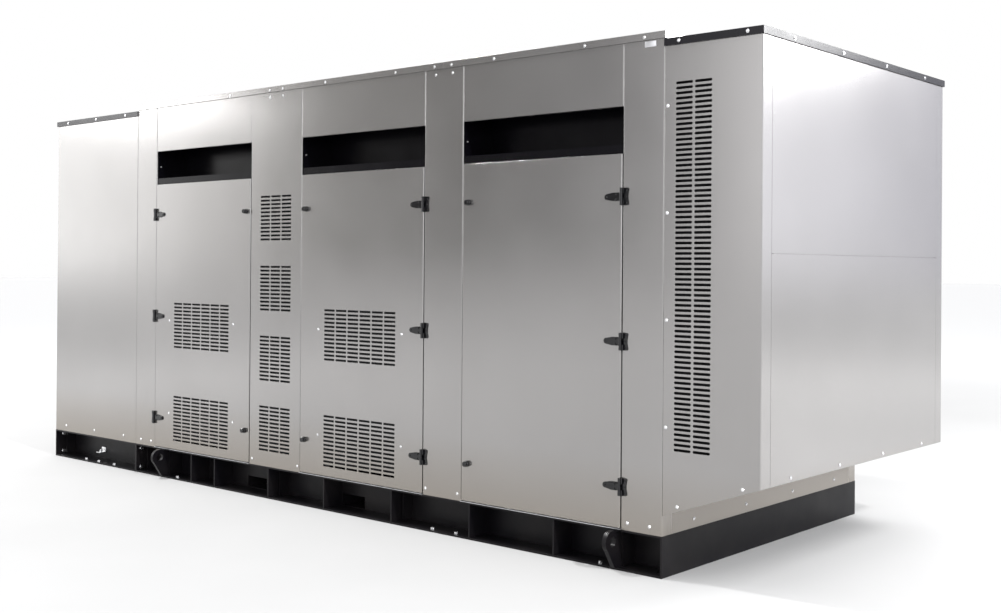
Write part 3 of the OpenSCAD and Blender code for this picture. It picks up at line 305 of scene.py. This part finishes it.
def dress_nodes():
    """Gives every CAD node the material of its slot, except the end walls, which get a darker copy of the silver
    paint as painted shade under the hood's overhang.
    """
    for part in frame["record"]["subparts"]:
        mesh = NODES[part["node"]].data
        mesh.materials.clear()
        # End walls take the darker copy: painted shade under the hood.
        mesh.materials.append(SHADED_END_SHEET if part["node"] == "end_walls" else MATERIALS[part["material_slot"]])


# ---------- Mesh building ----------

def finish_piece(name, bm, material, body="enclosure", smooth=True):
    """Turns a bmesh into an object that rides on a CAD body."""
    mesh = bpy.data.meshes.new(name)
    bmesh.ops.recalc_face_normals(bm, faces=bm.faces)
    bm.to_mesh(mesh)
    bm.free()
    mesh.materials.append(material)
    obj = bpy.data.objects.new(name, mesh)
    bpy.context.scene.collection.objects.link(obj)
    if smooth:
        mesh.shade_smooth()
        mesh.set_sharp_from_angle(angle=math.radians(32))
    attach(obj, body)
    return obj


def add_block(bm, low, high, edge=0.0015, segments=2):
    """Block between two corners with rounded edges."""
    low, high = [Vector(map(f, low, high)) for f in (min, max)]
    made = bmesh.ops.create_cube(bm, size=1.0)["verts"]
    size = high - low
    for v in made:
        v.co = low + Vector((v.co[i] + 0.5)*size[i] for i in range(3))
    edges = {e for v in made for e in v.link_edges}
    bmesh.ops.bevel(bm, geom=list(edges), offset=min(edge, min(size)*0.3), segments=segments,
                    affect="EDGES", profile=0.6)


def add_turned(bm, base, direction, profile, segments=20):
    """Turned shape: profile is (radius, height) pairs from the base outward, closed where radius is 0."""
    axis = Vector(direction).normalized()
    side = axis.orthogonal().normalized()
    other = axis.cross(side)
    rings = []
    for radius, height in profile:
        centre = Vector(base) + axis*height
        if radius == 0:
            rings.append([bm.verts.new(centre)])
        else:
            turns = [math.tau*k/segments for k in range(segments)]
            rings.append([bm.verts.new(centre + radius*(side*math.cos(t) + other*math.sin(t)))
                          for t in turns])
    for lower, upper in zip(rings, rings[1:]):
        for k in range(segments):
            j = (k + 1) % segments
            if len(lower) == 1:
                bm.faces.new((lower[0], upper[j], upper[k]))
            elif len(upper) == 1:
                bm.faces.new((lower[k], lower[j], upper[0]))
            else:
                bm.faces.new((lower[k], lower[j], upper[j], upper[k]))


def add_screw(bm, place, direction, radius):
    """Pan-head screw on a washer, with a shallow recess."""
    r = radius
    add_turned(bm, place, direction, (
        (0, 0), (r*1.45, 0), (r*1.45, r*0.16), (r*1.05, r*0.2), (r, r*0.45), (r*0.85, r*0.68),
        (r*0.5, r*0.8), (r*0.32, r*0.8), (r*0.26, r*0.5), (0, r*0.5)), 16)


def add_tube(bm, points, radius, closed=False, segments=10):
    """Round tube through the points, with mitred corners."""
    points = [Vector(p) for p in points]
    count = len(points)
    rings = []
    side = None
    for i, point in enumerate(points):
        before = points[i - 1] if (i > 0 or closed) else point
        after = points[(i + 1) % count] if (i < count - 1 or closed) else point
        along = ((point - before).normalized() + (after - point).normalized()).normalized()
        if side is None:
            side = along.orthogonal().normalized()
        side = (side - along*side.dot(along)).normalized()
        other = along.cross(side)
        turns = [math.tau*k/segments for k in range(segments)]
        rings.append([bm.verts.new(point + radius*(side*math.cos(t) + other*math.sin(t))) for t in turns])
    pairs = list(zip(rings, rings[1:]))
    if closed:
        start, end = rings[0], rings[-1]
        shift = min(range(segments), key=lambda k: (start[k].co - end[0].co).length)
        pairs.append((end, start[shift:] + start[:shift]))
    for a, b in pairs:
        for k in range(segments):
            j = (k + 1) % segments
            bm.faces.new((a[k], a[j], b[j], b[k]))
    if not closed:
        bm.faces.new(rings[0][::-1])
        bm.faces.new(rings[-1])


def rounded_loop(low, high, radius, steps=5):
    """Points round a rectangle with rounded corners, in two coordinates."""
    (x0, z0), (x1, z1) = low, high
    corners = ((x1 - radius, z1 - radius, 0), (x0 + radius, z1 - radius, 1),
               (x0 + radius, z0 + radius, 2), (x1 - radius, z0 + radius, 3))
    loop = []
    for x, z, quarter in corners:
        for k in range(steps):
            turn = math.pi/2*(quarter + k/(steps - 1))
            loop.append((x + radius*math.cos(turn), z + radius*math.sin(turn)))
    return loop


def add_egg_crate(bm, low, high, depth, pitch=0.034, swell=0.007):
    """Foam sheet over the rectangle low..high in (x, z), from y = depth[0] to a lumpy face at depth[1]."""
    (x0, z0), (x1, z1) = low, high
    nx = max(4, round(abs(x1 - x0)/pitch*2))
    nz = max(4, round(abs(z1 - z0)/pitch*2))
    back, face = depth
    lift = swell*(1 if face > back else -1)
    grid = []
    for i in range(nx + 1):
        row = []
        for j in range(nz + 1):
            rim = i in (0, nx) or j in (0, nz)
            wave = math.sin(math.pi*i/2)*math.sin(math.pi*j/2)
            y = face - lift*(1.0 if rim else 0.5 - 0.5*wave)
            row.append(bm.verts.new((x0 + (x1 - x0)*i/nx, y, z0 + (z1 - z0)*j/nz)))
        grid.append(row)
    for i in range(nx):
        for j in range(nz):
            bm.faces.new((grid[i][j], grid[i + 1][j], grid[i + 1][j + 1], grid[i][j + 1]))
    rim = ([grid[i][0] for i in range(nx)] + [grid[nx][j] for j in range(nz)]
           + [grid[i][nz] for i in range(nx, 0, -1)] + [grid[0][j] for j in range(nz, 0, -1)])
    base = [bm.verts.new((v.co.x, back, v.co.z)) for v in rim]
    for k in range(len(rim)):
        j = (k + 1) % len(rim)
        bm.faces.new((rim[k], rim[j], base[j], base[k]))
    bm.faces.new(base)


# ---------- Doors: lining, baffles, seals and screws ----------

def vent_levels(vent):
    """Bottom of each vent in a column of vents."""
    return [SKID_TOP + vent["up"] + k*vent["step"] for k in range(vent["count"])]


def line_door(door):
    """Foam sheet glued inside the door pan."""
    margin = 0.075
    bm = bmesh.new()
    xs = sorted((door.across(margin), door.across(door.width - margin - 0.03)))
    add_egg_crate(bm, (xs[0], door.bottom + margin), (xs[1], door.top - margin),
                  (door.out(-0.0015), door.out(-0.026)))
    finish_piece(f"lining_{door.body}", bm, SHADE_DARK_FOAM, door.body)


def baffle_door(door):
    """Sheet-metal sound baffles over the vents, on the door's inside, open along their lower edges."""
    reach = 0.085
    bm = bmesh.new()
    for level in vent_levels(DOOR_VENT):
        x0, x1 = sorted((door.across((door.width - DOOR_VENT["w"])/2 - reach),
                         door.across((door.width + DOOR_VENT["w"])/2 + reach)))
        z0 = level - 0.015
        z1 = level + DOOR_VENT["h"] + 0.055
        face = door.out(-0.072)
        rim = door.out(-0.0275)
        slope = 0.045
        outline = [(x0 + slope, z0, face), (x1 - slope, z0, face),
                   (x1 - slope, z1 - slope, face), (x0 + slope, z1 - slope, face)]
        foot = [(x0 + 0.02, z0, rim), (x1 - 0.02, z0, rim),
                (x1 - 0.02, z1 - 0.02, rim), (x0 + 0.02, z1 - 0.02, rim)]
        edge = [(x0, z0, rim), (x1, z0, rim), (x1, z1, rim), (x0, z1, rim)]
        rows = [[bm.verts.new((x, y, z)) for x, z, y in line] for line in (outline, foot, edge)]
        bm.faces.new(rows[0])
        for a, b in ((rows[0], rows[1]), (rows[1], rows[2])):
            for k in (1, 2, 3):
                j = (k + 1) % 4
                bm.faces.new((a[k], a[j], b[j], b[k]))
    made = bm.faces[:]
    bmesh.ops.solidify(bm, geom=made, thickness=0.0015)
    finish_piece(f"baffles_{door.body}", bm, MATERIALS["galvanised"], door.body, smooth=False)


def screw_vents(door):
    """Screws that hold the baffles behind the vents."""
    bm = bmesh.new()
    beside = (door.width - DOOR_VENT["w"])/2 - 0.055
    for level in vent_levels(DOOR_VENT):
        for distance in (beside, door.width - beside):
            place = door.point(distance, DOOR_PROUD, level + DOOR_VENT["h"]*0.6)
            add_screw(bm, place, (0, door.sign, 0), 0.006)
    finish_piece(f"vent_screws_{door.body}", bm, MATERIALS["zinc"], door.body)


def screw_hinges(door):
    """Black screws through the hinge arms: one near the tip, a pair near the knuckle."""
    bm = bmesh.new()
    for level in door.hinge_levels:
        for distance, rise in ((0.094, 0.0), (0.034, -0.0125), (0.034, 0.0125)):
            add_screw(bm, door.point(distance, ARM_FACE, level + rise), (0, door.sign, 0), 0.0045)
    finish_piece(f"hinge_screws_{door.body}", bm, MATERIALS["hardware_black"], door.body)


def seal_door(door):
    """Bulb seal round the door pan's inner edge."""
    inset = 0.014
    xs = sorted((door.across(DOOR_GAP + inset), door.across(door.width - DOOR_GAP - inset)))
    loop = rounded_loop((xs[0], door.bottom + inset), (xs[1], door.top - inset), 0.03)
    bm = bmesh.new()
    add_tube(bm, [(x, door.out(-0.0305), z) for x, z in loop], 0.0048, closed=True, segments=8)
    finish_piece(f"seal_{door.body}", bm, MATERIALS["rubber"], door.body)


def add_washer(bm, place, outward, inner, outer, height):
    """Flat ring with a rounded rim."""
    add_turned(bm, place, outward, (
        (inner, 0), (outer, 0), (outer, height*0.6), (outer - height*0.4, height), (inner, height),
        (inner, 0)), 28)


def screw_frame_leaves():
    """Screws of the hinge plates on the pillars."""
    bm = bmesh.new()
    for door in DOORS:
        for level in door.hinge_levels:
            for distance, rise in ((-0.026, 0.031), (-0.023, 0.0), (-0.026, -0.031)):
                add_screw(bm, door.point(distance, 0.004, level + rise), (0, door.sign, 0), 0.0038)
    finish_piece("hinge_plate_screws", bm, MATERIALS["hardware_black"], "enclosure")


def add_doors():
    for door in DOORS:
        line_door(door)
        seal_door(door)
        screw_hinges(door)
        if door.vented:
            baffle_door(door)
            screw_vents(door)
    screw_frame_leaves()


# ---------- Enclosure linings, plates and small pieces ----------

def line_and_shade_pillar_vents():
    """Near-black foam behind the vents of the vented pillars: a lining that also stands as painted shade inside
    the pillars, so the slots read dark.
    """
    low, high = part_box("vented_pillars")
    middle = (low[0] + high[0])/2
    for side, sign in SIDES.items():
        bm = bmesh.new()
        for level in vent_levels(PILLAR_VENT):
            reach = PILLAR_VENT["w"]/2 + 0.025
            add_egg_crate(bm, (middle - reach, level - 0.03),
                          (middle + reach, level + PILLAR_VENT["h"] + 0.03),
                          (sign*(HALF_W - 0.006), sign*(HALF_W - 0.032)))
        finish_piece(f"shade_lining_pillar_{side}", bm, SHADE_DARK_FOAM, "enclosure")


def line_and_shade_hood():
    """Near-black foam sheets behind the hood's long slots: a sound lining that also stands as painted shade
    inside the hollow hood, so the slots read dark.
    """
    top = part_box("hood_sides")[1][2]
    for side, sign in SIDES.items():
        bm = bmesh.new()
        add_egg_crate(bm, (BODY_X1 + 0.036, 0.56), (HOOD_X1 - 0.10, top - 0.04),
                      (sign*(HALF_W - 0.036), sign*(HALF_W - 0.075)))
        finish_piece(f"shade_lining_hood_{side}", bm, SHADE_DARK_FOAM, "enclosure")


def screw_pockets():
    """One small screw in each side wall of the air inlet pockets."""
    bm = bmesh.new()
    level = SKID_TOP + 1.985
    for door in DOORS:
        for distance, way in ((0.005, 1), (door.width - 0.005, -1)):
            place = door.point(distance, -0.030, level)
            add_screw(bm, place, (door.step*way, 0, 0), 0.005)
    finish_piece("pocket_screws", bm, MATERIALS["zinc"], "enclosure")


def fit_plates():
    """Blank rating plate by the roof."""
    bm = bmesh.new()
    x = BODY_X1 - 0.086
    roof_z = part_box("main_roof")[1][2]
    add_block(bm, (x - 0.034, -HALF_W - 0.0015, roof_z - 0.069),
              (x + 0.034, -HALF_W, roof_z - 0.041), 0.0004)
    finish_piece("blank_plate", bm, MATERIALS["galvanised"], "enclosure")


def fit_ground_lug():
    """Earthing bracket with its bolt on the skid's web, near the discharge end."""
    x = DISCHARGE_X0 + 0.47
    y = -(HALF_W - 0.140)
    bm = bmesh.new()
    add_block(bm, (x - 0.03, y - 0.006, 0.055), (x + 0.03, y, 0.095), 0.002)
    add_block(bm, (x - 0.03, y - 0.05, 0.055), (x + 0.03, y - 0.006, 0.061), 0.002)
    add_turned(bm, (x, y - 0.030, 0.061), (0, 0, 1), ((0, 0), (0.013, 0), (0.013, 0.003), (0.009, 0.003),
                                                     (0.009, 0.012), (0.005, 0.012), (0.005, 0.020), (0, 0.020)))
    finish_piece("earthing_bracket", bm, MATERIALS["zinc"], "enclosure")


# ---------- Generator set details ----------

def fit_control_panel():
    """Display, keys, lamps and the stop button's collar."""
    low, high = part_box("control_box")
    face = low[1]
    x0 = low[0] + 0.085
    top = high[2] - 0.125
    bm = bmesh.new()
    add_block(bm, (x0, face - 0.003, top - 0.16), (x0 + 0.17, face + 0.001, top), 0.001)
    finish_piece("display", bm, GLASS, "enclosure")
    bm = bmesh.new()
    for i in range(4):
        for j in range(3):
            place = (x0 + 0.19 + i*0.024, face - 0.004, top - 0.03 - j*0.045)
            add_block(bm, place, (place[0] + 0.018, face + 0.001, place[2] + 0.022), 0.003)
    finish_piece("panel_keys", bm, MATERIALS["rubber"], "enclosure")
    for k, material in enumerate((LAMP_GREEN, LAMP_AMBER)):
        bm = bmesh.new()
        add_turned(bm, (low[0] + 0.10 + k*0.06, low[1] + 0.006, high[2] - 0.42), (0, -1, 0),
                   ((0, 0), (0.013, 0), (0.013, 0.006), (0.010, 0.009), (0.009, 0.013), (0.005, 0.017),
                    (0, 0.018)))
        finish_piece(f"lamp_{k + 1}", bm, material, "enclosure")
    button_low, button_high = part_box("stop_button")
    centre = (button_low + button_high)/2
    bm = bmesh.new()
    add_washer(bm, (centre[0], low[1] + 0.006, centre[2]), (0, -1, 0), 0.013, 0.038, 0.004)
    finish_piece("stop_collar", bm, YELLOW, "enclosure")


def fit_radiator_fins():
    """Flat tubes on the discharge side of the radiator core."""
    low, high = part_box("radiator")
    core = (low[2] + 0.145, high[2] - 0.19)
    y0, y1 = low[1] + 0.055, high[1] - 0.055
    x = low[0] + 0.012
    bm = bmesh.new()
    pitch = 0.022
    for k in range(int((y1 - y0)/pitch)):
        y = y0 + k*pitch
        add_block(bm, (x, y, core[0]), (x + 0.010, y + 0.006, core[1]), 0.002, 1)
    finish_piece("radiator_tubes", bm, MATERIALS["hardware_black"], "enclosure")


def clamp_hoses():
    """Worm-drive clamps at the ends of the coolant hoses."""
    low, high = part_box("coolant_hoses")
    bm = bmesh.new()
    for z, radius in ((high[2] - 0.040, 0.038), (low[2] + 0.044, 0.042)):
        for x in (low[0] + 0.012, low[0] + 0.030):
            add_washer(bm, (x, 0.3, z), (1, 0, 0), radius + 0.0002, radius + 0.003, 0.010)
    finish_piece("hose_clamps", bm, MATERIALS["zinc"], "enclosure")


def bolt_rocker_covers():
    """Rows of bolts on the rocker covers."""
    low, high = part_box("cylinder_head")
    bm = bmesh.new()
    for i in range(6):
        for dx in (0.03, 0.206):
            for y in (-0.125, 0.125):
                add_turned(bm, (low[0] + 0.02 + i*0.256 + dx, y, high[2]), (0, 0, 1),
                           ((0, 0), (0.014, 0), (0.014, 0.003), (0.010, 0.003), (0.010, 0.012), (0, 0.012)), 12)
    finish_piece("rocker_cover_bolts", bm, MATERIALS["zinc"], "enclosure")


def add_small_pieces():
    line_and_shade_pillar_vents()
    line_and_shade_hood()
    screw_pockets()
    fit_plates()
    fit_ground_lug()
    fit_control_panel()
    fit_radiator_fins()
    clamp_hoses()
    bolt_rocker_covers()


# ---------- Stage, light and camera ----------

def make_floor():
    bpy.ops.mesh.primitive_plane_add(size=240, location=(0, 0, -0.001))
    floor = bpy.context.object
    floor.name = "floor"
    m = Nodes("pale_floor_shade_ring")
    reach = m.new("ShaderNodeVectorMath", operation="LENGTH")
    m.link(m.place, reach.inputs[0])
    # Painted shade: the floor is grey within 5 m of the object and pale beyond 15 m, so the lower panels mirror
    # a darker floor as painted reflection.
    near = m.new("ShaderNodeMapRange", interpolation_type="SMOOTHSTEP")
    near.inputs["From Min"].default_value = 5
    near.inputs["From Max"].default_value = 15
    m.link(reach.outputs["Value"], near.inputs["Value"])
    shade_ring_grey = m.ramp(m.noise(0.6, 3), (0.50, 0.50, 0.50), (0.52, 0.52, 0.52))
    m.link(m.mix(near.outputs["Result"], shade_ring_grey, (0.78, 0.78, 0.78)), m.shader.inputs["Base Color"])
    m.set(Roughness=0.9)
    floor.data.materials.append(m.mat)


def area_light(name, place, target, size, power, colour=(1, 1, 1)):
    data = bpy.data.lights.new(name, "AREA")
    data.shape = "RECTANGLE"
    data.size, data.size_y = size
    data.energy = power
    data.color = colour
    lamp = bpy.data.objects.new(name, data)
    lamp.location = place
    lamp.rotation_euler = (Vector(target) - Vector(place)).to_track_quat("-Z", "Y").to_euler()
    bpy.context.scene.collection.objects.link(lamp)


# Brightness of the studio round the object: turns from the +X axis, then what shows there
SURROUND = (
    (0.00, (1.10, 1.14, 1.22)),
    (0.10, (1.70, 1.73, 1.84)),
    (0.166, (2.15, 2.17, 2.30)),
    (0.180, (1.30, 1.31, 1.42)),
    (0.195, (0.50, 0.51, 0.62)),
    (0.24, (0.60, 0.61, 0.68)),
    (0.32, (1.00, 1.00, 1.02)),
    (0.50, (2.20, 2.19, 2.18)),
    (0.578, (2.75, 2.76, 2.77)),
    (0.590, (2.15, 2.15, 2.13)),
    (0.598, (0.55, 0.53, 0.51)),
    (0.609, (0.26, 0.25, 0.235)),
    (0.642, (0.20, 0.197, 0.20)),
    (0.655, (0.48, 0.475, 0.485)),
    (0.668, (2.30, 2.30, 2.34)),
    (0.75, (0.60, 0.60, 0.60)),
    (0.82, (0.75, 0.75, 0.77)),
    (0.90, (3.00, 3.02, 3.10)),
    (1.00, (1.10, 1.14, 1.22)),
)
CEILING = (1.1, 1.1, 1.1)


def make_light():
    """White studio: even white behind the object, softly uneven walls and ceiling for the paint to mirror."""
    world = bpy.data.worlds.new("studio")
    world.use_nodes = True
    tree = world.node_tree
    new = tree.nodes.new
    split = new("ShaderNodeSeparateXYZ")
    tree.links.new(new("ShaderNodeTexCoord").outputs["Generated"], split.inputs["Vector"])
    angle = new("ShaderNodeMath")
    angle.operation = "ARCTAN2"
    tree.links.new(split.outputs["Y"], angle.inputs[0])
    tree.links.new(split.outputs["X"], angle.inputs[1])
    turn = new("ShaderNodeMath")
    turn.operation = "DIVIDE"
    turn.inputs[1].default_value = math.tau
    tree.links.new(angle.outputs[0], turn.inputs[0])
    wrap = new("ShaderNodeMath")
    wrap.operation = "FRACT"
    tree.links.new(turn.outputs[0], wrap.inputs[0])
    walls = new("ShaderNodeValToRGB")
    walls.color_ramp.interpolation = "EASE"
    points = walls.color_ramp.elements
    while len(points) < len(SURROUND):
        points.new(0.5)
    for point, (place, colour) in zip(points, SURROUND):
        point.position = place
        point.color = (*colour, 1)
    tree.links.new(wrap.outputs[0], walls.inputs["Fac"])
    rise = new("ShaderNodeMapRange")
    rise.interpolation_type = "SMOOTHSTEP"
    rise.inputs["From Min"].default_value = 0.3
    rise.inputs["From Max"].default_value = 0.75
    tree.links.new(split.outputs["Z"], rise.inputs["Value"])
    room = new("ShaderNodeMix")
    room.data_type = "RGBA"
    tree.links.new(rise.outputs["Result"], room.inputs["Factor"])
    tree.links.new(walls.outputs["Color"], room.inputs[6])
    room.inputs[7].default_value = (*CEILING, 1)
    shown = new("ShaderNodeMix")
    shown.data_type = "RGBA"
    tree.links.new(new("ShaderNodeLightPath").outputs["Is Camera Ray"], shown.inputs["Factor"])
    tree.links.new(room.outputs[2], shown.inputs[6])
    shown.inputs[7].default_value = (1, 1, 1, 1)
    tree.links.new(shown.outputs[2], tree.nodes["Background"].inputs["Color"])
    bpy.context.scene.world = world
    bpy.context.scene.view_settings.view_transform = "Standard"
    area_light("hall_lamp_left", (-6.5, -3.0, 10.5), (-0.8, -1, 1.4), (0.7, 0.7), 900)
    area_light("hall_lamp_right", (11.5, -2.9, 7.6), (1.6, -1, 1.6), (0.7, 0.7), 1000)
    area_light("floor_wash_left", (-8.0, -4.6, 3.5), (-8.0, -4.6, 0), (3.0, 2.0), 120)
    area_light("floor_wash_near", (5.0, 2.2, 3.4), (5.0, 2.2, 0), (1.5, 1.5), 130)
    area_light("floor_wash_far", (8.5, 8.0, 4.5), (8.5, 8.0, 0), (2.5, 2.5), 260)


def make_camera():
    azimuth = math.radians(38.785)
    elevation = math.radians(-0.254)
    roll = math.radians(0.399)
    back = Vector((math.sin(azimuth)*math.cos(elevation), -math.cos(azimuth)*math.cos(elevation),
                   math.sin(elevation)))
    side = Vector((math.cos(azimuth), math.sin(azimuth), 0))
    up = back.cross(side)
    right = side*math.cos(roll) + up*math.sin(roll)
    top = up*math.cos(roll) - side*math.sin(roll)
    data = bpy.data.cameras.new("camera")
    data.sensor_width = 36
    data.lens = 36*1210/1001
    data.shift_x = -0.0919
    data.shift_y = -0.0447
    data.clip_end = 500
    camera = bpy.data.objects.new("camera", data)
    place = Vector((6.012, -5.771, 1.498))
    camera.matrix_world = Matrix((
        (right.x, top.x, back.x, place.x),
        (right.y, top.y, back.y, place.y),
        (right.z, top.z, back.z, place.z),
        (0, 0, 0, 1)))
    bpy.context.scene.collection.objects.link(camera)
    bpy.context.scene.camera = camera


dress_nodes()
add_doors()
add_small_pieces()
make_floor()
make_light()
make_camera()
